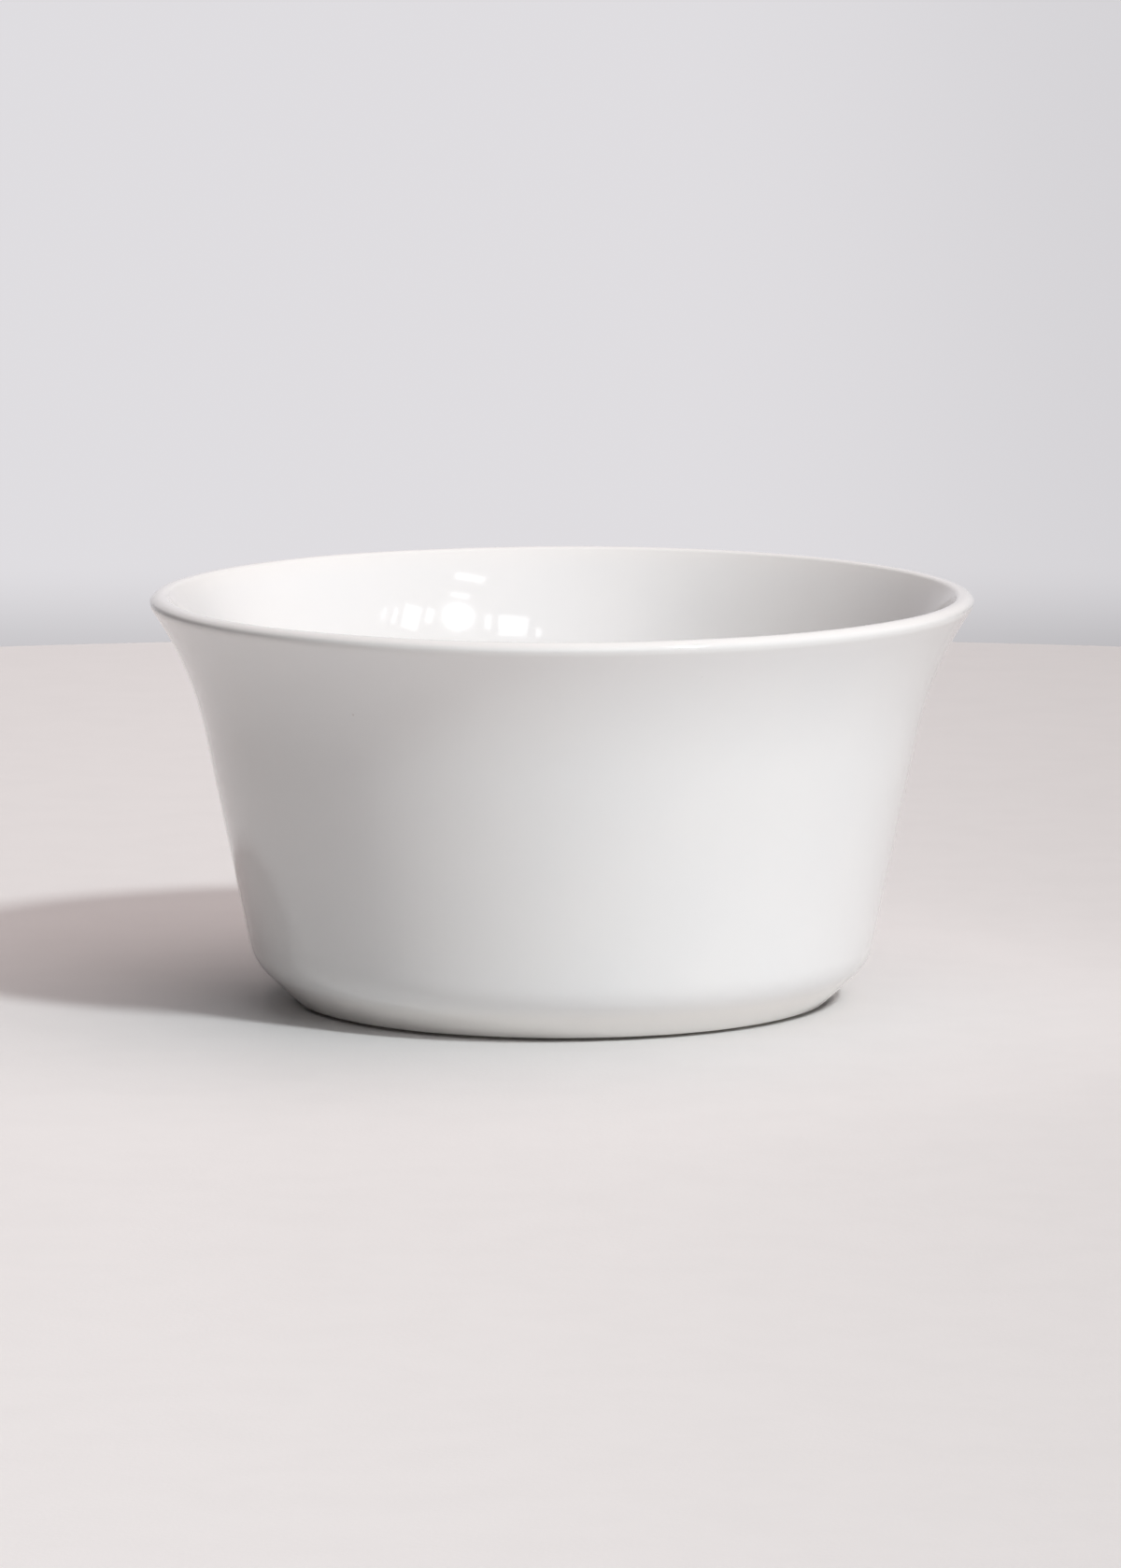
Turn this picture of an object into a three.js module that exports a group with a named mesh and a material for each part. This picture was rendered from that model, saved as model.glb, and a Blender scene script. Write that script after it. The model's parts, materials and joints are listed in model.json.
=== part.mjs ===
// Sauce dish in white porcelain: a small bowl with a flared rim, a chamfered heel and a bare foot ring.
// The clay body and the two layers of glaze fired onto it are turned solids that share their faces.
// Millimetres, +Z up. The origin is on the table, under the middle of the foot.
import * as THREE from "three";

// Outside of the finished dish, measured over the glaze.
const RIM_DIAMETER = 90;
const HEIGHT = 44.75;
const FLARE_REACH = 2.9; // how far the rim stands out from the line of the straight wall
const FLARE_RADIUS = 37.8;
const HEEL_DIAMETER = 67.8; // where the lines of the wall and the chamfer cross
const HEEL_HEIGHT = 4.6;
const HEEL_ROUND = 5.8;
const CHAMFER_WIDTH = 4.45; // from the heel in to the end of the glaze
const GLAZE_LINE_HEIGHT = 0.4; // bare clay below this, on both sides of the foot ring

// Lip: a broad crown with a tight outer edge, which passes softly into the wall on either side. Each angle
// is that of the outward normal, up from level, where one curve takes over from the other.
const LIP_UNDERSIDE_RADIUS = 1.55;
const LIP_EDGE_RADIUS = 0.57;
const LIP_CROWN_RADIUS = 1.55;
const LIP_INSIDE_RADIUS = 0.8;
const LIP_EDGE_START = THREE.MathUtils.degToRad(-12);
const LIP_CROWN_START = THREE.MathUtils.degToRad(48);
const LIP_INSIDE_START = THREE.MathUtils.degToRad(100);

// Inside of the finished dish. Both wall thicknesses are measured level.
const INNER_FLARE_RADIUS = 40;
const WALL_THICKNESS = 2.4; // in line with the rim
const HEEL_THICKNESS = 4.6; // in line with the floor of the well
const FLOOR_THICKNESS = 3.4;
const WELL_ROUND = 8;

// Foot ring and the recess inside it.
const FOOT_SETBACK = 1; // how far the ring stands back from the line of the clay's chamfer
const FOOT_RING_WIDTH = 3;
const RECESS_DEPTH = 1.4;
const RECESS_ROUND = 0.6;
const RECESS_DRAFT = THREE.MathUtils.degToRad(15);

const GLAZE_THICKNESS = 0.3;

// Fineness of the facets.
const TURN_SEGMENTS = 48;
const ARC_SAG = 0.03; // how far a chord may lie from its arc
const SAME_POINT = 1e-6;

const UP = Math.PI / 2;

// Unit vector at an angle in the plane of the profile, where x is the radius and y the height.
function unit(angle) {
  return new THREE.Vector2(Math.cos(angle), Math.sin(angle));
}

function along(point, angle, distance) {
  return unit(angle).multiplyScalar(distance).add(point);
}

// Angle of the outward normal of a line that runs from one point to another, with the clay on its left.
function normalOf(from, to) {
  return to.clone().sub(from).angle() - UP;
}

// Angle brought to within half a turn of another, so that an arc between them takes the short way.
function near(angle, other) {
  const turn = 2 * Math.PI;
  return angle - turn * Math.round((angle - other) / turn);
}

// Point at a given height on the line through a point with a given normal.
function atHeight(point, normal, height) {
  return new THREE.Vector2(point.x - (height - point.y) * Math.tan(normal), height);
}

// A profile is a row of arcs, each meeting the next along a straight tangent. An arc has a centre, the
// angles of its first and last outward normal, and a radius that is negative where the surface is hollow.
function arc(centre, radius, first, last = first) {
  return { centre, radius, first, last };
}

// Rounding of the corner where two lines with the given normals cross.
function corner(point, radius, first, last) {
  const middle = (first + last) / 2;
  const reach = radius / Math.cos((last - first) / 2);
  return arc(along(point, middle, -reach), radius, first, last);
}

// Points along a profile, sunk below the surface by a depth. Every depth gives points at the same normals,
// and two arcs that touch share one point.
function trace(profile, depth) {
  const points = profile.flatMap(({ centre, radius, first, last }) => {
    const size = Math.max(Math.abs(radius), ARC_SAG);
    const count = Math.ceil(Math.abs(last - first) / (2 * Math.acos(1 - ARC_SAG / size)));
    const step = (last - first) / Math.max(count, 1);
    return Array.from({ length: count + 1 }, (_, i) => along(centre, first + i * step, radius - depth));
  });
  return points.filter((point, i) => i === 0 || point.distanceTo(points[i - 1]) > SAME_POINT);
}

// Outer wall: the chamfer rises from the glaze line to the heel, and the straight wall from there up.
const heel = new THREE.Vector2(HEEL_DIAMETER / 2, HEEL_HEIGHT);
const glazeLine = new THREE.Vector2(heel.x - CHAMFER_WIDTH, GLAZE_LINE_HEIGHT);
const wallTop = new THREE.Vector2(RIM_DIAMETER / 2 - FLARE_REACH, HEIGHT);
const chamferNormal = near(normalOf(glazeLine, heel), 0);
const wallNormal = near(normalOf(heel, wallTop), 0);

// Inner wall and the floor of the well.
const floorHeight = RECESS_DEPTH + FLOOR_THICKNESS;
const wellTop = new THREE.Vector2(wallTop.x - WALL_THICKNESS, HEIGHT);
const wellCorner = atHeight(heel, wallNormal, floorHeight);
wellCorner.x -= HEEL_THICKNESS;
const wellNormal = near(normalOf(wellTop, wellCorner), Math.PI);

// Lip: the centres of its four arcs. The crown touches the height of the dish and the edge its rim.
const crownToEdge = unit(LIP_CROWN_START).multiplyScalar(LIP_CROWN_RADIUS - LIP_EDGE_RADIUS);
const lipCrown = new THREE.Vector2(
  RIM_DIAMETER / 2 - LIP_EDGE_RADIUS - crownToEdge.x,
  HEIGHT - LIP_CROWN_RADIUS,
);
const lipEdge = lipCrown.clone().add(crownToEdge);
const lipUnderside = along(lipEdge, LIP_EDGE_START, LIP_EDGE_RADIUS - LIP_UNDERSIDE_RADIUS);
const lipInside = along(lipCrown, LIP_INSIDE_START, LIP_CROWN_RADIUS - LIP_INSIDE_RADIUS);

// Centre of the arc that leaves a wall and runs into the lip: one radius out from the wall's line, and at a
// given distance from the centre of the nearest arc of the lip. It curves about a point outside the dish.
function flareCentre(lipArc, wallPoint, outward, radius, lipDistance) {
  const across = unit(outward);
  const upward = unit(outward + UP);
  const fromWall = lipArc.clone().sub(wallPoint);
  const drop = Math.sqrt(lipDistance ** 2 - (radius - fromWall.dot(across)) ** 2);
  return wallPoint
    .clone()
    .addScaledVector(across, radius)
    .addScaledVector(upward, fromWall.dot(upward) - drop);
}

const outerDistance = FLARE_RADIUS + LIP_UNDERSIDE_RADIUS;
const outerFlare = flareCentre(lipUnderside, heel, wallNormal, FLARE_RADIUS, outerDistance);
const lipStart = near(outerFlare.clone().sub(lipUnderside).angle(), wallNormal);
const wellOutward = wellNormal - Math.PI;
const innerDistance = INNER_FLARE_RADIUS - LIP_INSIDE_RADIUS;
const innerFlare = flareCentre(lipInside, wellTop, wellOutward, INNER_FLARE_RADIUS, innerDistance);
const lipEnd = near(lipInside.clone().sub(innerFlare).angle(), wellNormal);

const dishProfile = [
  arc(glazeLine, 0, chamferNormal),
  corner(heel, HEEL_ROUND, chamferNormal, wallNormal),
  arc(outerFlare, -FLARE_RADIUS, wallNormal, lipStart),
  arc(lipUnderside, LIP_UNDERSIDE_RADIUS, lipStart, LIP_EDGE_START),
  arc(lipEdge, LIP_EDGE_RADIUS, LIP_EDGE_START, LIP_CROWN_START),
  arc(lipCrown, LIP_CROWN_RADIUS, LIP_CROWN_START, LIP_INSIDE_START),
  arc(lipInside, LIP_INSIDE_RADIUS, LIP_INSIDE_START, lipEnd),
  arc(innerFlare, INNER_FLARE_RADIUS, lipEnd, wellNormal),
  corner(wellCorner, -WELL_ROUND, wellNormal, UP),
  arc(new THREE.Vector2(0, floorHeight), 0, UP),
];

// Foot ring: it stands back under the end of the glaze, which leaves a narrow gap above the table.
const clayGlazeLine = along(glazeLine, chamferNormal, -GLAZE_THICKNESS);
const footOuter = atHeight(clayGlazeLine, chamferNormal, 0);
footOuter.x -= FOOT_SETBACK;
const footInner = new THREE.Vector2(footOuter.x - FOOT_RING_WIDTH, 0);

// Recess under the dish: a flat ceiling, a rounded corner and the drafted inner side of the foot ring.
const ringNormal = -Math.PI + RECESS_DRAFT;
const ringSide = along(footInner, ringNormal, GLAZE_THICKNESS);
const recessProfile = [
  arc(new THREE.Vector2(0, RECESS_DEPTH), 0, -UP),
  corner(atHeight(ringSide, ringNormal, RECESS_DEPTH), -RECESS_ROUND, -UP, ringNormal),
  arc(atHeight(ringSide, ringNormal, GLAZE_LINE_HEIGHT), 0, ringNormal),
];

const clayDish = trace(dishProfile, GLAZE_THICKNESS);
const clayRecess = trace(recessProfile, GLAZE_THICKNESS);

function turned(name, points, material) {
  const mesh = new THREE.Mesh(new THREE.LatheGeometry(points, TURN_SEGMENTS), material);
  mesh.geometry.rotateX(UP);
  mesh.name = name;
  return mesh;
}

function porcelainBody() {
  const bareClay = new THREE.MeshStandardMaterial({ color: 0xe6dfd2, roughness: 0.85, metalness: 0 });
  return turned("porcelain_body", [...clayRecess, footInner, footOuter, ...clayDish], bareClay);
}

function glazeCoat() {
  const whiteGlaze = new THREE.MeshStandardMaterial({ color: 0xf0efed, roughness: 0.1, metalness: 0 });
  return turned("glaze_coat", [...clayDish.toReversed(), ...trace(dishProfile, 0)], whiteGlaze);
}

function undersideGlaze() {
  const whiteGlaze = new THREE.MeshStandardMaterial({ color: 0xecebe6, roughness: 0.14, metalness: 0 });
  return turned("underside_glaze", [...trace(recessProfile, 0), ...clayRecess.toReversed()], whiteGlaze);
}

const sauceDish = new THREE.Group();
sauceDish.name = "sauce_dish";
sauceDish.add(porcelainBody(), glazeCoat(), undersideGlaze());

export default sauceDish;
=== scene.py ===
import json
import math
from typing import NamedTuple

import bpy
from bpy.props import FloatProperty, FloatVectorProperty, PointerProperty
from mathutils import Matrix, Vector


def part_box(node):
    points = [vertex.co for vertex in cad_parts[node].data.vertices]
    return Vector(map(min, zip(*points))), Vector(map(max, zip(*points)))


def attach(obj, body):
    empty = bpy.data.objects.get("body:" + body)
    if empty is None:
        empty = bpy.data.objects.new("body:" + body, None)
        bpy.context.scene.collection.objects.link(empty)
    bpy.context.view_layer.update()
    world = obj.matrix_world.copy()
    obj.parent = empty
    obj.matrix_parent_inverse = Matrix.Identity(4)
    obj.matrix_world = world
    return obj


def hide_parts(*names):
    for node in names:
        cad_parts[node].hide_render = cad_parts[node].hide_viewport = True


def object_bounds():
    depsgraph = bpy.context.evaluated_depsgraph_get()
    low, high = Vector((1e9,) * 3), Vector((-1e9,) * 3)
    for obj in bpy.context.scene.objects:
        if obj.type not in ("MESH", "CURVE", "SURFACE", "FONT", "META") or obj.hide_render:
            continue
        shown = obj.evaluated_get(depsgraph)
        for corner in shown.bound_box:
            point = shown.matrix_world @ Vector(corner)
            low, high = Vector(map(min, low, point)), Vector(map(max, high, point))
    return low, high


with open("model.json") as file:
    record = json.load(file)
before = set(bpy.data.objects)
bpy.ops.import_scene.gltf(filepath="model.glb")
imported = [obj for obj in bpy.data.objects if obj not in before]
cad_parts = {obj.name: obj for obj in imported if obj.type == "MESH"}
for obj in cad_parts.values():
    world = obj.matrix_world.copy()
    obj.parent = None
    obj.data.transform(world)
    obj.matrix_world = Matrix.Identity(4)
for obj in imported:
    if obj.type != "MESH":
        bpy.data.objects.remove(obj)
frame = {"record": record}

bl_info = {
    "name": "Sauce Dish",
    "version": (1, 0, 0),
    "blender": (4, 5, 0),
    "location": "3D View > Sidebar > Sauce Dish",
    "description": "A small white porcelain dish with a flared rim, and a studio to show it in",
    "category": "Add Mesh",
}

MM = 0.001
UP = math.pi / 2
CAD_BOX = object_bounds()
MOUNTS = {mount["name"]: Vector(mount["pos_m"]) for mount in frame["record"]["mounts"]}

# Fineness of the turned meshes
TURN_STEPS = 192
ARC_STEP = math.radians(6)
LONGEST_STEP = 1.5 * MM
MERGE_DISTANCE = 0.01 * MM


def length(name, description, default):
    return FloatProperty(
        name=name, description=description, default=default, min=0, precision=5, unit="LENGTH"
    )


def amount(name, description, default):
    return FloatProperty(name=name, description=description, default=default, min=0, precision=3)


def angle(name, description, degrees):
    return FloatProperty(
        name=name, description=description, default=math.radians(degrees), subtype="ANGLE"
    )


def power(name, description, default):
    return FloatProperty(name=name, description=description, default=default, min=0, unit="POWER")


def colour(name, description, default):
    return FloatVectorProperty(
        name=name, description=description, default=default, min=0, max=1, size=3, subtype="COLOR"
    )


def place(name, description, default):
    return FloatVectorProperty(
        name=name, description=description, default=default, size=3, subtype="XYZ"
    )


class DishSizes(bpy.types.PropertyGroup):
    """Sizes of the dish, measured over the glaze."""

    rim_diameter: length("Rim", "Across the outside of the lip", CAD_BOX[1].x - CAD_BOX[0].x)
    height: length("Height", "From the table to the top of the lip", CAD_BOX[1].z)
    flare_reach: length(
        "Flare reach", "How far the rim stands out from the line of the wall", 2.9 * MM
    )
    flare_radius: length("Flare radius", "Radius of the hollow curve under the rim", 37.8 * MM)
    inner_flare_radius: length(
        "Inner flare radius", "Radius of the full curve inside the rim", 40 * MM
    )
    lip_underside: length(
        "Lip underside", "Radius that runs from the flare into the lip", 1.55 * MM
    )
    lip_edge: length("Lip edge", "Radius of the tight outer edge of the lip", 0.57 * MM)
    lip_crown: length("Lip crown", "Radius of the broad top of the lip", 1.55 * MM)
    lip_inside: length("Lip inside", "Radius that runs from the lip into the well", 0.8 * MM)
    lip_edge_start: angle("Edge start", "Slope of the normal where the edge takes over", -12)
    lip_crown_start: angle("Crown start", "Slope of the normal where the crown takes over", 48)
    lip_inside_start: angle("Inside start", "Slope of the normal where the inside takes over", 100)
    heel_diameter: length("Heel", "Across the corner where the wall meets the chamfer", 67.8 * MM)
    heel_height: length("Heel height", "Height of that corner", 4.6 * MM)
    heel_round: length("Heel rounding", "Radius of the rounded heel", 5.8 * MM)
    chamfer_width: length("Chamfer", "From the heel in to the end of the glaze", 4.45 * MM)
    glaze_line: length(
        "Glaze line", "Height where the glaze stops above the foot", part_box("glaze_coat")[0].z
    )
    wall_thickness: length("Wall", "Level thickness of the wall in line with the rim", 2.4 * MM)
    heel_thickness: length(
        "Wall at the heel", "Level thickness of the wall at the floor of the well", 4.6 * MM
    )
    floor_height: length("Well floor", "Height of the floor of the well", MOUNTS["well_floor"].z)
    well_round: length("Well rounding", "Radius of the corner round the floor of the well", 8 * MM)
    foot_setback: length(
        "Foot setback", "How far the ring stands back from the line of the chamfer", 1 * MM
    )
    foot_ring_width: length("Foot ring", "Width of the bare ring that the dish stands on", 3 * MM)
    foot_round: length("Foot rounding", "Radius of the sponged edges of the foot ring", 0.35 * MM)
    recess_depth: length("Recess", "Depth of the recess inside the foot ring", 1.4 * MM)
    recess_round: length("Recess rounding", "Radius of the corner in the recess", 0.6 * MM)
    recess_draft: angle("Recess draft", "Lean of the inner side of the foot ring", 15)
    glaze_thickness: length("Glaze", "Thickness of the layer of glaze", 0.3 * MM)
    unevenness: length(
        "Unevenness", "How far the fired surface wanders from a true turned one", 0.06 * MM
    )


class DishFinish(bpy.types.PropertyGroup):
    """Colours and gloss of the two finishes."""

    glaze_colour: colour("Glaze", "White of the glaze over the clay", (0.86, 0.853, 0.845))
    pooled_colour: colour("Pooled glaze", "Where the glaze lies thick", (0.84, 0.838, 0.836))
    thin_colour: colour(
        "Thin glaze", "Where the glaze is drawn thin over an edge", (0.87, 0.855, 0.835)
    )
    # Warm where the glaze thins, and painted lighter as painted light that the floor bounces onto
    # the chamfer
    foot_glaze_and_painted_bounce: colour(
        "Glaze at the foot", "Where the glaze thins out above the foot", (0.93, 0.902, 0.87)
    )
    fleck_colour: colour(
        "Flecks", "Specks of iron that fired through the glaze", (0.33, 0.27, 0.22)
    )
    glaze_roughness: amount("Glaze roughness", "Roughness of clean glaze", 0.06)
    gloss_weight: amount("Gloss", "Strength of the second, smoother layer of shine", 0.3)
    gloss_roughness: amount("Gloss roughness", "Roughness of that layer", 0.045)
    refraction: amount("Refraction", "Index of refraction of the glaze", 1.5)
    clay_colour: colour("Clay", "Bare fired clay of the foot ring", (0.79, 0.74, 0.65))
    rubbed_colour: colour(
        "Rubbed clay", "Where the foot ring has slid on tables", (0.55, 0.51, 0.45)
    )
    clay_roughness: amount("Clay roughness", "Roughness of the bare clay", 0.75)


class StudioSettings(bpy.types.PropertyGroup):
    """Floor, light and camera."""

    floor_radius: length("Floor radius", "Half the width of the round floor", 317 * MM)
    floor_thickness: length("Floor thickness", "Thickness of the floor board", 18 * MM)
    floor_colour: colour("Floor", "Pale floor", (0.83, 0.816, 0.81))
    floor_roughness: amount("Floor roughness", "Roughness of the floor", 0.6)
    # Painted shade: the floor darkens toward the right where the light falls off
    floor_painted_shade: amount("Floor falloff", "Share by which the floor darkens toward the right", 0.2)
    backdrop_colour: colour("Backdrop", "Pale backdrop behind the floor", (0.74, 0.725, 0.75))
    ambient_colour: colour(
        "Ambient", "Colour of the soft light from the bright side", (0.965, 0.97, 1.0)
    )
    ambient_strength: amount("Ambient strength", "Strength of the light from the bright side", 1.03)
    ambient_turn: angle("Ambient turn", "Direction of the bright side of the room", -45)
    key_place: place("Key lamp", "Place of the main lamp", (0.846, -0.957, 1.268))
    key_width: length("Key width", "Diameter of the main lamp", 215 * MM)
    key_power: power("Key power", "Power of the main lamp", 18.9)
    key_colour: colour("Key colour", "Colour of the main lamp", (0.94, 0.99, 1.0))
    pane_brightness: amount("Panes", "Radiance of the soft panes round the main lamp", 3.0)
    top_place: place("Top panel", "Place of the soft panel overhead", (0.3, 0.2, 1.15))
    top_width: length("Top width", "Diameter of the panel overhead", 1700 * MM)
    top_power: power("Top power", "Power of the panel overhead", 11.2)
    top_colour: colour("Top colour", "Colour of the panel overhead", (1.0, 0.856, 0.835))
    camera_place: place("Camera", "Place of the camera", (0, -1.0132, 0.1668))
    camera_pitch: angle("Camera pitch", "How far the camera looks down", 8.045)
    camera_turn: angle("Camera turn", "How far the camera turns to its left", 0.0085)
    lens: amount("Lens", "Focal length in millimetres", 214.4)


def unit(direction):
    return Vector((math.cos(direction), math.sin(direction)))


def normal_of(start, end):
    """Angle of the outward normal of a line with the clay on its left."""
    run = end - start
    return math.atan2(run.y, run.x) - UP


def near(direction, other):
    """Angle brought to within half a turn of another."""
    return direction - math.tau * round((direction - other) / math.tau)


def at_height(point, normal, height):
    """Point at a height on the line through a point with a normal."""
    return Vector((point.x - (height - point.y) * math.tan(normal), height))


class Arc(NamedTuple):
    """Round stretch of a profile in radius and height, from its first outward normal to its last.

    The radius is negative where the surface is hollow, and 0 where the stretch is one point.
    """

    centre: Vector
    radius: float
    first: float
    last: float

    def start(self, depth):
        return self.centre + unit(self.first) * (self.radius - depth)

    def end(self, depth):
        return self.centre + unit(self.last) * (self.radius - depth)

    def backwards(self):
        return Arc(self.centre, self.radius, self.last, self.first)


def point_of(point, normal):
    return Arc(point, 0, normal, normal)


def corner(point, radius, first, last):
    """Rounding of the corner where two lines with these normals cross."""
    reach = radius / math.cos((last - first) / 2)
    return Arc(point - unit((first + last) / 2) * reach, radius, first, last)


def backwards(profile):
    return [arc.backwards() for arc in reversed(profile)]


class DishLines:
    """The profiles of the dish, worked out from its sizes."""

    def __init__(self, sizes):
        heel = Vector((sizes.heel_diameter / 2, sizes.heel_height))
        glaze_line = Vector((heel.x - sizes.chamfer_width, sizes.glaze_line))
        wall_top = Vector((sizes.rim_diameter / 2 - sizes.flare_reach, sizes.height))
        chamfer_normal = near(normal_of(glaze_line, heel), 0)
        wall_normal = near(normal_of(heel, wall_top), 0)

        well_top = wall_top - Vector((sizes.wall_thickness, 0))
        well_corner = at_height(heel, wall_normal, sizes.floor_height)
        well_corner.x -= sizes.heel_thickness
        well_normal = near(normal_of(well_top, well_corner), math.pi)

        crown_to_edge = unit(sizes.lip_crown_start) * (sizes.lip_crown - sizes.lip_edge)
        rim = sizes.rim_diameter / 2
        crown = Vector((rim - sizes.lip_edge - crown_to_edge.x, sizes.height - sizes.lip_crown))
        edge = crown + crown_to_edge
        underside = edge + unit(sizes.lip_edge_start) * (sizes.lip_edge - sizes.lip_underside)
        inside = crown + unit(sizes.lip_inside_start) * (sizes.lip_crown - sizes.lip_inside)
        outer_radius = sizes.flare_radius
        outer_flare = self.flare_centre(
            underside, heel, wall_normal, outer_radius, outer_radius + sizes.lip_underside
        )
        inner_radius = sizes.inner_flare_radius
        inner_flare = self.flare_centre(
            inside, well_top, well_normal - math.pi, inner_radius, inner_radius - sizes.lip_inside
        )
        lip_start = near(normal_of(underside, outer_flare) + UP, wall_normal)
        lip_end = near(normal_of(inner_flare, inside) + UP, well_normal)
        self.dish = [
            point_of(glaze_line, chamfer_normal),
            corner(heel, sizes.heel_round, chamfer_normal, wall_normal),
            Arc(outer_flare, -outer_radius, wall_normal, lip_start),
            Arc(underside, sizes.lip_underside, lip_start, sizes.lip_edge_start),
            Arc(edge, sizes.lip_edge, sizes.lip_edge_start, sizes.lip_crown_start),
            Arc(crown, sizes.lip_crown, sizes.lip_crown_start, sizes.lip_inside_start),
            Arc(inside, sizes.lip_inside, sizes.lip_inside_start, lip_end),
            Arc(inner_flare, inner_radius, lip_end, well_normal),
            corner(well_corner, -sizes.well_round, well_normal, UP),
            point_of(Vector((0, sizes.floor_height)), UP),
        ]

        depth = sizes.glaze_thickness
        clay_line = glaze_line - unit(chamfer_normal) * depth
        foot_outer = at_height(clay_line, chamfer_normal, 0)
        foot_outer.x -= sizes.foot_setback
        foot_inner = foot_outer - Vector((sizes.foot_ring_width, 0))
        ring_normal = sizes.recess_draft - math.pi
        ring_side = foot_inner + unit(ring_normal) * depth
        recess_corner = at_height(ring_side, ring_normal, sizes.recess_depth)
        recess_end = at_height(ring_side, ring_normal, sizes.glaze_line)
        self.recess = [
            point_of(Vector((0, sizes.recess_depth)), -UP),
            corner(recess_corner, -sizes.recess_round, -UP, ring_normal),
            point_of(recess_end, ring_normal),
        ]
        self.foot = [
            corner(foot_inner, sizes.foot_round, ring_normal, -UP),
            corner(foot_outer, sizes.foot_round, -UP, near(normal_of(foot_outer, clay_line), 0)),
        ]

        # The glaze draws itself into a round edge where it stops.
        bead = depth / 2
        self.dish_bead = Arc(
            glaze_line - unit(chamfer_normal) * bead, bead, chamfer_normal - math.pi, chamfer_normal
        )
        self.recess_bead = Arc(
            recess_end - unit(ring_normal) * bead, bead, ring_normal, ring_normal + math.pi
        )

    @staticmethod
    def flare_centre(lip, wall_point, outward, radius, lip_distance):
        """Centre of the arc that leaves a wall and runs into the lip."""
        across = unit(outward)
        upward = unit(outward + UP)
        from_wall = lip - wall_point
        drop = math.sqrt(lip_distance**2 - (radius - from_wall.dot(across)) ** 2)
        return wall_point + across * radius + upward * (from_wall.dot(upward) - drop)


class Turning:
    """A turned piece.

    Its profile is drawn by extruding and spinning one vertex, and is then spun round the axis.
    """

    def __init__(self, name):
        bpy.ops.object.select_all(action="DESELECT")
        bpy.ops.mesh.primitive_plane_add(size=MM, enter_editmode=True)
        self.piece = bpy.context.active_object
        self.piece.name = name
        self.piece.data.name = name
        bpy.ops.mesh.merge(type="CENTER")
        self.pen = None

    def draw_to(self, point):
        """Moves the lone vertex to the first point, and extrudes a line to each later one."""
        if self.pen is None:
            bpy.ops.transform.translate(value=(point.x, 0, point.y))
            self.pen = point
        run = point - self.pen
        if run.length < MERGE_DISTANCE:
            return
        steps = math.ceil(run.length / LONGEST_STEP)
        for _ in range(steps):
            step = run / steps
            bpy.ops.mesh.extrude_region_move(TRANSFORM_OT_translate={"value": (step.x, 0, step.y)})
        self.pen = point

    def draw_round(self, arc, depth):
        """Spins the end of the line about the centre of an arc."""
        turn = arc.last - arc.first
        reach = abs(turn * (arc.radius - depth))
        if reach < MERGE_DISTANCE:
            return
        steps = max(math.ceil(abs(turn) / ARC_STEP), math.ceil(reach / LONGEST_STEP))
        bpy.ops.mesh.spin(
            steps=steps, angle=turn, center=(arc.centre.x, 0, arc.centre.y), axis=(0, 1, 0)
        )
        self.pen = arc.end(depth)

    def draw(self, profile, depth=0):
        for arc in profile:
            self.draw_to(arc.start(depth))
            self.draw_round(arc, depth)

    def turn(self):
        """Spins the profile round the axis and closes the mesh."""
        bpy.ops.mesh.select_all(action="SELECT")
        bpy.ops.mesh.spin(steps=TURN_STEPS, angle=math.tau, center=(0, 0, 0), axis=(0, 0, 1))
        bpy.ops.mesh.select_all(action="SELECT")
        bpy.ops.mesh.remove_doubles(threshold=MERGE_DISTANCE)
        bpy.ops.mesh.normals_make_consistent(inside=False)
        bpy.ops.mesh.select_mode(type="EDGE")
        bpy.ops.mesh.select_all(action="DESELECT")
        bpy.ops.mesh.select_non_manifold()
        open_edges = self.piece.data.total_edge_sel
        bpy.ops.mesh.select_mode(type="VERT")
        bpy.ops.object.mode_set(mode="OBJECT")
        if open_edges:
            raise RuntimeError(f"{self.piece.name} has {open_edges} open edges")
        bpy.ops.object.shade_smooth()
        return self.piece


# Width of the swells in the fired surface
COAT_SWELLS = 22 * MM
UNDERSIDE_SWELLS = 14 * MM


def make_uneven(piece, distance, wave):
    """Lets the surface wander a little, as clay and glaze do in the kiln."""
    clouds = bpy.data.textures.new(f"{piece.name}_clouds", "CLOUDS")
    clouds.noise_scale = wave
    clouds.noise_depth = 1
    uneven = piece.modifiers.new("uneven", "DISPLACE")
    uneven.texture = clouds
    uneven.texture_coords = "LOCAL"
    uneven.strength = 2 * distance
    bpy.context.view_layer.objects.active = piece
    bpy.ops.object.modifier_apply(modifier=uneven.name)


def hand_over(piece, node, material):
    """Gives a finished piece its material and its body, and hides the solid that it stands for."""
    piece.data.materials.append(material)
    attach(piece, "root")
    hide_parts(node)


class Value:
    """An output socket that takes part in sums: each operation on it adds a Math node."""

    def __init__(self, bench, socket):
        self.bench = bench
        self.socket = socket

    def math(self, operation, first, second):
        return self.bench.add("ShaderNodeMath", {"operation": operation}, {0: first, 1: second})

    def __add__(self, other):
        return self.math("ADD", self, other)

    def __radd__(self, other):
        return self.math("ADD", other, self)

    def __sub__(self, other):
        return self.math("SUBTRACT", self, other)

    def __rsub__(self, other):
        return self.math("SUBTRACT", other, self)

    def __mul__(self, other):
        return self.math("MULTIPLY", self, other)

    def __rmul__(self, other):
        return self.math("MULTIPLY", other, self)


class Fade(NamedTuple):
    """Smooth step of a value: nothing at its start, its full height at its end."""

    start: float
    end: float
    height: float = 1.0


class Clouds(NamedTuple):
    """Cloudy noise from 0 to 1: about how wide its lumps are, and how much finer detail it has."""

    wave: float
    detail: float
    roughness: float = 0.5


class Dots(NamedTuple):
    """Round dots in random places, full height in their middle and nothing outside."""

    spacing: float
    radius: float
    height: float


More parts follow.
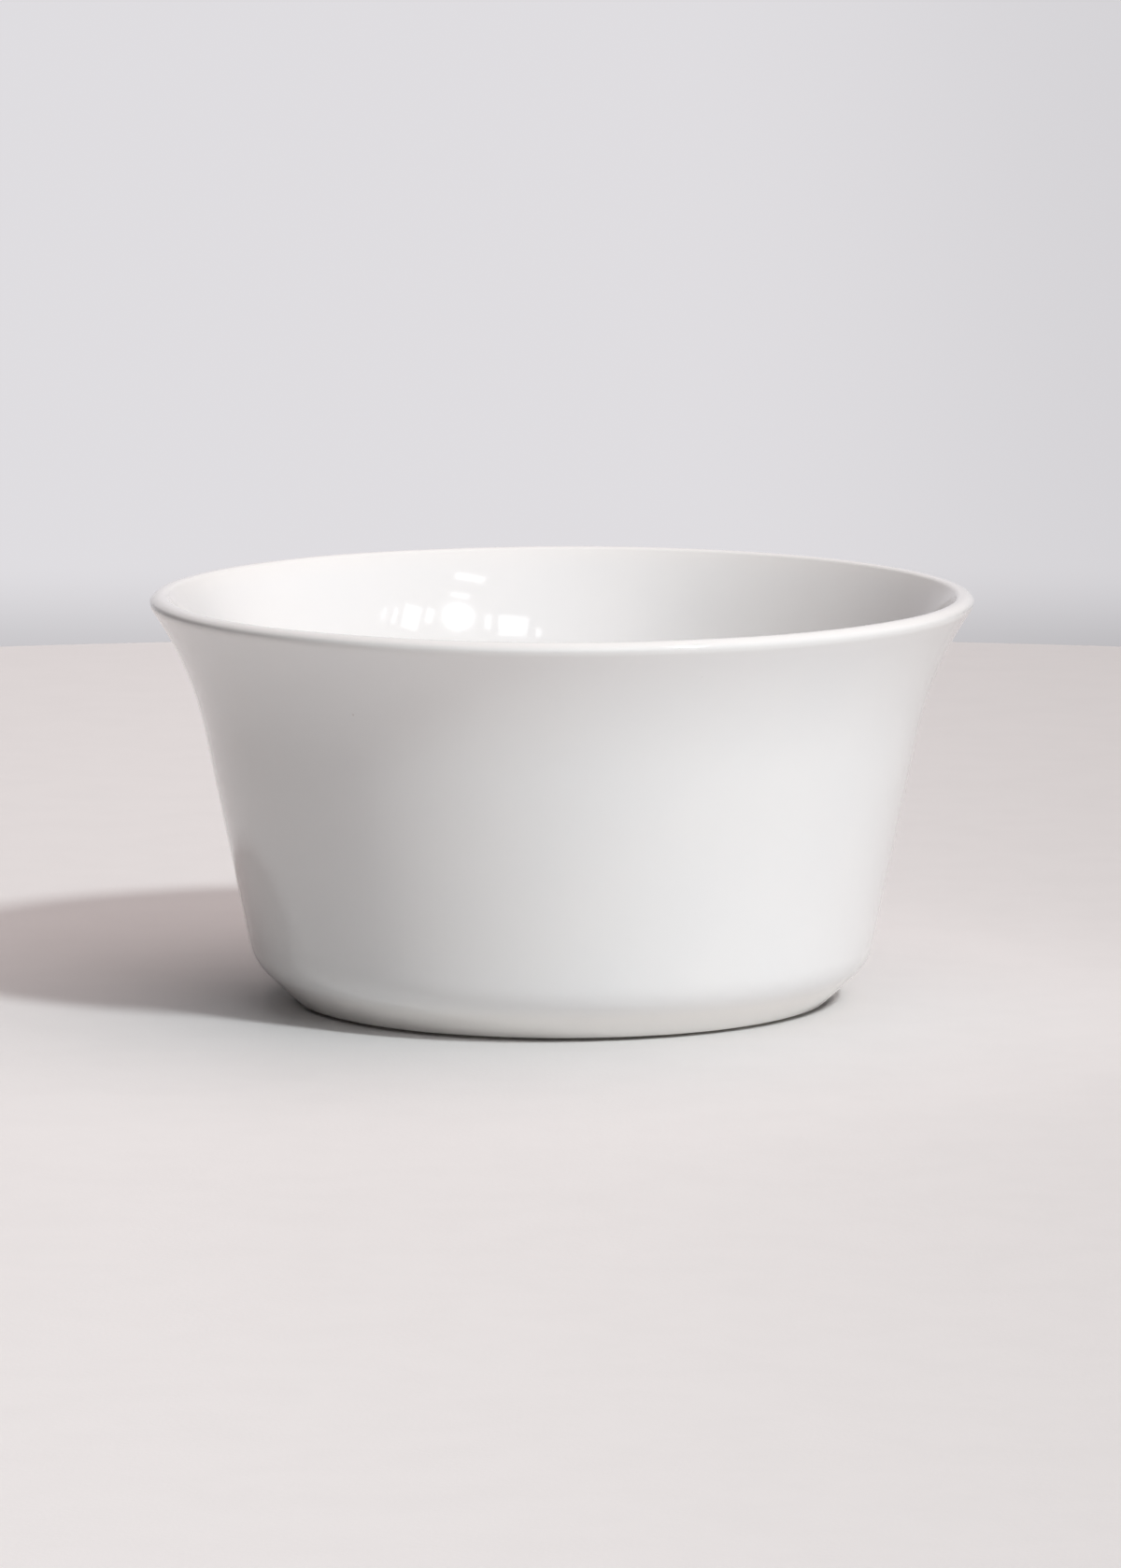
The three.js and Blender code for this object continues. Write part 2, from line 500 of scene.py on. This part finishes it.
class Bench:
    """The node tree of a material or a world, emptied for new nodes."""

    def __init__(self, owner):
        owner.use_nodes = True
        self.tree = owner.node_tree
        self.tree.nodes.clear()

    def add(self, kind, settings=None, inputs=None, output=0):
        """Adds a node: its settings first, then the values or links of its sockets."""
        node = self.tree.nodes.new(kind)
        for name, setting in (settings or {}).items():
            setattr(node, name, setting)
        for name, value in (inputs or {}).items():
            if isinstance(value, Value):
                self.tree.links.new(value.socket, node.inputs[name])
            else:
                node.inputs[name].default_value = value
        return Value(self, node.outputs[output]) if len(node.outputs) else None

    def place(self):
        return self.add("ShaderNodeTexCoord", output="Object")

    def part(self, position, axis):
        return self.add("ShaderNodeSeparateXYZ", None, {0: position}, axis)

    def noise(self, position, clouds):
        inputs = {
            "Vector": position,
            "Scale": 1 / clouds.wave,
            "Detail": clouds.detail,
            "Roughness": clouds.roughness,
        }
        return self.add("ShaderNodeTexNoise", None, inputs, "Fac")

    def dots(self, position, dots):
        inputs = {"Vector": position, "Scale": 1 / dots.spacing}
        distance = self.add("ShaderNodeTexVoronoi", None, inputs, "Distance")
        return self.fade(distance, Fade(dots.radius / dots.spacing, 0, dots.height))

    def fade(self, value, fade):
        inputs = {
            "Value": value,
            "From Min": fade.start,
            "From Max": fade.end,
            "To Max": fade.height,
        }
        return self.add("ShaderNodeMapRange", {"interpolation_type": "SMOOTHSTEP"}, inputs)

    def blend(self, factor, first, second):
        """Colour that goes from the first to the second."""
        inputs = {0: factor, 6: opaque(first), 7: opaque(second)}
        return self.add("ShaderNodeMix", {"data_type": "RGBA"}, inputs, 2)

    def bump(self, height, distance):
        inputs = {"Height": height, "Distance": distance, "Strength": 1.0}
        return self.add("ShaderNodeBump", None, inputs)

    def background(self, shade, strength):
        inputs = {"Color": opaque(shade), "Strength": strength}
        return self.add("ShaderNodeBackground", None, inputs)

    def surface(self, inputs):
        shader = self.add("ShaderNodeBsdfPrincipled", None, inputs)
        self.add("ShaderNodeOutputMaterial", None, {"Surface": shader})


def opaque(shade):
    return shade if isinstance(shade, Value) else (*shade, 1.0)


# Marks in the glaze. A height is the share of another colour, the added roughness or the depth.
DRIFT = Clouds(18 * MM, 3)
DRIFT_TINT = Fade(0.3, 0.8)
THIN_LIP_DEPTH = 2.5 * MM
THIN_LIP_TINT = 0.6
FLECKS = Dots(9 * MM, 0.2 * MM, 0.4)
SMEARS = Clouds(11 * MM, 4, 0.6)
SMEAR_ROUGHNESS = Fade(0.5, 0.75, 0.05)
RIPPLES = Clouds(3.5 * MM, 1)
FINE_RIPPLES = Clouds(1.1 * MM, 1)
FINE_RIPPLE_DEPTH = 0.2
PINHOLES = Dots(4.3 * MM, 0.16 * MM, 2.0)
GLAZE_RELIEF = 0.006 * MM


def white_glaze(name, sizes, finish):
    """Glossy white glaze, warm where it thins out, painted lighter above the foot as painted light
    bounced up from the floor, and with a few specks and pinholes.
    """
    material = bpy.data.materials.new(name)
    bench = Bench(material)
    position = bench.place()
    height = bench.part(position, "Z")

    drift = bench.fade(bench.noise(position, DRIFT), DRIFT_TINT)
    lip = bench.fade(height, Fade(sizes.height - THIN_LIP_DEPTH, sizes.height, THIN_LIP_TINT))
    # Painted bounce light: above the foot the glaze turns lighter as well as warm, standing in for
    # light from the floor
    foot = bench.fade(height, Fade(sizes.heel_height, sizes.heel_height / 2))
    flecks = bench.dots(position, FLECKS)
    body = bench.blend(drift, finish.glaze_colour, finish.pooled_colour)
    edged = bench.blend(lip, body, finish.thin_colour)
    with_painted_foot_bounce = bench.blend(foot, edged, finish.foot_glaze_and_painted_bounce)
    flecked = bench.blend(flecks, with_painted_foot_bounce, finish.fleck_colour)

    smears = bench.fade(bench.noise(position, SMEARS), SMEAR_ROUGHNESS)
    ripples = bench.noise(position, RIPPLES)
    fine_ripples = bench.noise(position, FINE_RIPPLES) * FINE_RIPPLE_DEPTH
    pinholes = bench.dots(position, PINHOLES)
    normal = bench.bump(ripples + fine_ripples - pinholes, GLAZE_RELIEF)
    bench.surface(
        {
            "Base Color": flecked,
            "Roughness": finish.glaze_roughness + smears,
            "Normal": normal,
            "IOR": finish.refraction,
            "Coat Weight": finish.gloss_weight,
            "Coat Roughness": finish.gloss_roughness,
        }
    )
    return material


# Marks on the bare clay
GRAIN = Clouds(0.25 * MM, 4, 0.7)
GRAIN_TINT = Fade(0.55, 0.8, 0.35)
GRAIN_ROUGHNESS = 0.1
GRAIN_RELIEF = 0.04 * MM
RUBS = Clouds(5 * MM, 5, 0.65)
RUBS_SHOWN = Fade(0.48, 0.72)
RUB_TINT = 0.5
RUB_POLISH = 0.2


def bare_clay(finish):
    """Matt fired clay with a fine sandy grain, rubbed grey where it slides."""
    material = bpy.data.materials.new("bare_clay")
    bench = Bench(material)
    position = bench.place()
    grain = bench.noise(position, GRAIN)
    rubs = bench.fade(bench.noise(position, RUBS), RUBS_SHOWN)
    toned = bench.blend(rubs * RUB_TINT, finish.clay_colour, finish.rubbed_colour)
    grained = bench.blend(bench.fade(grain, GRAIN_TINT), toned, finish.rubbed_colour)
    roughness = finish.clay_roughness - rubs * RUB_POLISH + grain * GRAIN_ROUGHNESS
    normal = bench.bump(grain, GRAIN_RELIEF)
    bench.surface({"Base Color": grained, "Roughness": roughness, "Normal": normal})
    return material


# Marks on the floor, and the stretch from left to right over which painted shade darkens it where
# the light falls off
MOTTLE = Clouds(9 * MM, 5, 0.6)
MOTTLE_TINT = Fade(0.35, 0.7, 0.015)
PAINTED_SHADE_START = -60 * MM
PAINTED_SHADE_END = 110 * MM
FLOOR_GRAIN = Clouds(0.6 * MM, 3)
FLOOR_RELIEF = 0.02 * MM
BLACK = (0, 0, 0)


def floor_board(studio):
    """Pale floor with a faint mottle, and painted shade that darkens it toward the right."""
    material = bpy.data.materials.new("pale_floor")
    bench = Bench(material)
    position = bench.place()
    mottle = bench.fade(bench.noise(position, MOTTLE), MOTTLE_TINT)
    across = bench.part(position, "X")
    # Painted shade toward the right, for light that falls off there
    falloff = bench.fade(across, Fade(PAINTED_SHADE_START, PAINTED_SHADE_END, studio.floor_painted_shade))
    toned = bench.blend(mottle + falloff, studio.floor_colour, BLACK)
    normal = bench.bump(bench.noise(position, FLOOR_GRAIN), FLOOR_RELIEF)
    bench.surface({"Base Color": toned, "Roughness": studio.floor_roughness, "Normal": normal})
    return material


class DISH_OT_porcelain_body(bpy.types.Operator):
    """Turn the clay body, which shows only on the foot ring"""

    bl_idname = "dish.porcelain_body"
    bl_label = "Porcelain Body"

    def execute(self, context):
        sizes = context.scene.dish_sizes
        lines = DishLines(sizes)
        turning = Turning("dish_clay")
        turning.draw(lines.recess, sizes.glaze_thickness)
        turning.draw(lines.foot)
        turning.draw(lines.dish, sizes.glaze_thickness)
        clay = turning.turn()
        hand_over(clay, "porcelain_body", bare_clay(context.scene.dish_finish))
        return {"FINISHED"}


class DISH_OT_glaze_coat(bpy.types.Operator):
    """Turn the skin of glaze over the outside, the lip and the inside"""

    bl_idname = "dish.glaze_coat"
    bl_label = "Glaze Coat"

    def execute(self, context):
        sizes = context.scene.dish_sizes
        lines = DishLines(sizes)
        turning = Turning("dish_glaze")
        turning.draw(backwards(lines.dish), sizes.glaze_thickness)
        turning.draw([lines.dish_bead])
        turning.draw(lines.dish)
        glaze = turning.turn()
        make_uneven(glaze, sizes.unevenness, COAT_SWELLS)
        material = white_glaze("white_glaze", sizes, context.scene.dish_finish)
        hand_over(glaze, "glaze_coat", material)
        return {"FINISHED"}


class DISH_OT_underside_glaze(bpy.types.Operator):
    """Turn the pool of glaze in the recess inside the foot ring"""

    bl_idname = "dish.underside_glaze"
    bl_label = "Underside Glaze"

    def execute(self, context):
        sizes = context.scene.dish_sizes
        lines = DishLines(sizes)
        turning = Turning("dish_underside")
        turning.draw(lines.recess)
        turning.draw([lines.recess_bead])
        turning.draw(backwards(lines.recess), sizes.glaze_thickness)
        glaze = turning.turn()
        make_uneven(glaze, sizes.unevenness, UNDERSIDE_SWELLS)
        material = white_glaze("underside_glaze", sizes, context.scene.dish_finish)
        hand_over(glaze, "underside_glaze", material)
        return {"FINISHED"}


class Pane(NamedTuple):
    """A soft pane of light: its place from the key lamp and its size, in degrees from the dish."""

    name: str
    turn: float
    rise: float
    width: float
    height: float


PANES = (
    Pane("far_left_strip", 30.5, -4.2, 1.1, 4.4),
    Pane("faint_left_strip", 25.8, -3.6, 1.1, 5.0),
    Pane("left_pane", 18.9, -2.8, 5.2, 7.4),
    Pane("left_strip", 11.6, -1.0, 2.2, 4.6),
    Pane("right_strip", -12.6, -0.8, 2.0, 5.2),
    Pane("right_pane", -23.0, -1.6, 8.6, 7.2),
    Pane("far_right_strip", -33.0, -3.6, 1.8, 3.2),
    Pane("upper_slat", -0.2, 13.4, 7.4, 2.5),
    Pane("lower_slat", 1.3, 7.0, 5.0, 1.6),
)


# Tone of the room by direction from the dish: to its side, ahead of the camera and up
BRIGHT_SIDE = Fade(0.6, 1.0)
HORIZON_SHADE = Fade(-0.116, -0.128, 0.24)
LEFT_SHADE = Fade(-0.2, -0.7, 0.5)
RIGHT_EDGE_SHADE = Fade(0.01, 0.07, 0.1)
RIGHT_SHADE = Fade(0.1, 0.6, 0.75)
FRONT_GLOW = Fade(-0.3, -0.9)


class DISH_OT_studio(bpy.types.Operator):
    """Set up the floor, the soft light and the camera"""

    bl_idname = "dish.studio"
    bl_label = "Studio"

    def execute(self, context):
        scene = context.scene
        studio = scene.dish_studio
        self.lay_floor(studio)
        self.light_all_round(scene, studio)
        key = self.hang_lamp("key_lamp", studio.key_place, studio.key_colour)
        self.make_round(key, studio.key_width, studio.key_power)
        top = self.hang_lamp("top_panel", studio.top_place, studio.top_colour)
        self.make_round(top, studio.top_width, studio.top_power)
        top.visible_glossy = False
        self.hang_panes(studio)
        self.place_camera(scene, studio)
        scene.view_settings.view_transform = "Standard"
        return {"FINISHED"}

    def lay_floor(self, studio):
        bpy.ops.object.select_all(action="DESELECT")
        bpy.ops.mesh.primitive_circle_add(
            vertices=TURN_STEPS, radius=studio.floor_radius, fill_type="NGON", enter_editmode=True
        )
        floor = bpy.context.active_object
        floor.name = "studio_floor"
        bpy.ops.mesh.extrude_region_move(
            TRANSFORM_OT_translate={"value": (0, 0, -studio.floor_thickness)}
        )
        bpy.ops.mesh.select_all(action="SELECT")
        bpy.ops.mesh.normals_make_consistent(inside=False)
        bpy.ops.object.mode_set(mode="OBJECT")
        floor.data.materials.append(floor_board(studio))

    def light_all_round(self, scene, studio):
        """Gives the room a bright side to light the dish, and a backdrop to see and reflect."""
        world = bpy.data.worlds.new("studio_world")
        scene.world = world
        bench = Bench(world)
        camera = bench.add("ShaderNodeLightPath", output="Is Camera Ray")
        glossy = bench.add("ShaderNodeLightPath", output="Is Glossy Ray")
        through = bench.add("ShaderNodeLightPath", output="Is Transmission Ray")
        direction = bench.add("ShaderNodeTexCoord", output="Generated")
        side, ahead, rise = (bench.part(direction, axis) for axis in "XYZ")
        turned = side * math.cos(studio.ambient_turn) + ahead * math.sin(studio.ambient_turn)
        strength = bench.fade(turned, BRIGHT_SIDE) * studio.ambient_strength
        light = bench.background(studio.ambient_colour, strength)
        left = bench.fade(side, LEFT_SHADE)
        right = bench.fade(side, RIGHT_EDGE_SHADE) + bench.fade(side, RIGHT_SHADE)
        front = bench.fade(ahead, FRONT_GLOW)
        tone = 1 - bench.fade(rise, HORIZON_SHADE) - left - right + front
        backdrop = bench.background(studio.backdrop_colour, tone)
        seen = camera + glossy + through
        mixed = bench.add("ShaderNodeMixShader", None, {0: seen, 1: light, 2: backdrop})
        bench.add("ShaderNodeOutputWorld", None, {"Surface": mixed})

    def hang_lamp(self, name, location, shade):
        """Hangs an area lamp that faces the dish."""
        lamp = bpy.data.objects.new(name, bpy.data.lights.new(name, "AREA"))
        lamp.data.color = shade
        lamp.location = location
        lamp.rotation_euler = Vector(location).to_track_quat("Z", "Y").to_euler()
        bpy.context.scene.collection.objects.link(lamp)
        return lamp

    def make_round(self, lamp, width, watts):
        lamp.data.shape = "DISK"
        lamp.data.size = width
        lamp.data.energy = watts

    def hang_panes(self, studio):
        """Hangs the soft panes round the key lamp, as far off as it is."""
        key = Vector(studio.key_place)
        key_turn = math.atan2(key.y, key.x)
        key_rise = math.asin(key.z / key.length)
        for pane in PANES:
            turn = key_turn + math.radians(pane.turn)
            rise = key_rise + math.radians(pane.rise)
            level = math.cos(rise)
            direction = Vector((level * math.cos(turn), level * math.sin(turn), math.sin(rise)))
            lamp = self.hang_lamp(pane.name, direction * key.length, studio.key_colour)
            lamp.data.shape = "RECTANGLE"
            lamp.data.size = key.length * math.radians(pane.width)
            lamp.data.size_y = key.length * math.radians(pane.height)
            lamp.data.energy = studio.pane_brightness * math.pi * lamp.data.size * lamp.data.size_y

    def place_camera(self, scene, studio):
        camera = bpy.data.cameras.new("camera")
        camera.lens = studio.lens
        stand = bpy.data.objects.new("camera", camera)
        stand.location = studio.camera_place
        stand.rotation_euler = (UP - studio.camera_pitch, 0, studio.camera_turn)
        scene.collection.objects.link(stand)
        scene.camera = stand


class DISH_PT_sidebar(bpy.types.Panel):
    """Sizes, finishes and steps of the sauce dish"""

    bl_idname = "DISH_PT_sidebar"
    bl_label = "Sauce Dish"
    bl_space_type = "VIEW_3D"
    bl_region_type = "UI"
    bl_category = "Sauce Dish"

    def draw(self, context):
        for step in STEPS:
            self.layout.operator(step.bl_idname)
        for group in GROUPS:
            settings = getattr(context.scene, group)
            for name in settings.__annotations__:
                self.layout.prop(settings, name)


GROUPS = {"dish_sizes": DishSizes, "dish_finish": DishFinish, "dish_studio": StudioSettings}
STEPS = (DISH_OT_porcelain_body, DISH_OT_glaze_coat, DISH_OT_underside_glaze, DISH_OT_studio)


def register():
    for kind in (*GROUPS.values(), *STEPS, DISH_PT_sidebar):
        bpy.utils.register_class(kind)
    for name, group in GROUPS.items():
        setattr(bpy.types.Scene, name, PointerProperty(type=group))


def unregister():
    for name in GROUPS:
        delattr(bpy.types.Scene, name)
    for kind in reversed((*GROUPS.values(), *STEPS, DISH_PT_sidebar)):
        bpy.utils.unregister_class(kind)


def main():
    register()
    bpy.ops.dish.porcelain_body()
    bpy.ops.dish.glaze_coat()
    bpy.ops.dish.underside_glaze()
    bpy.ops.dish.studio()


if __name__ == "__main__":
    main()
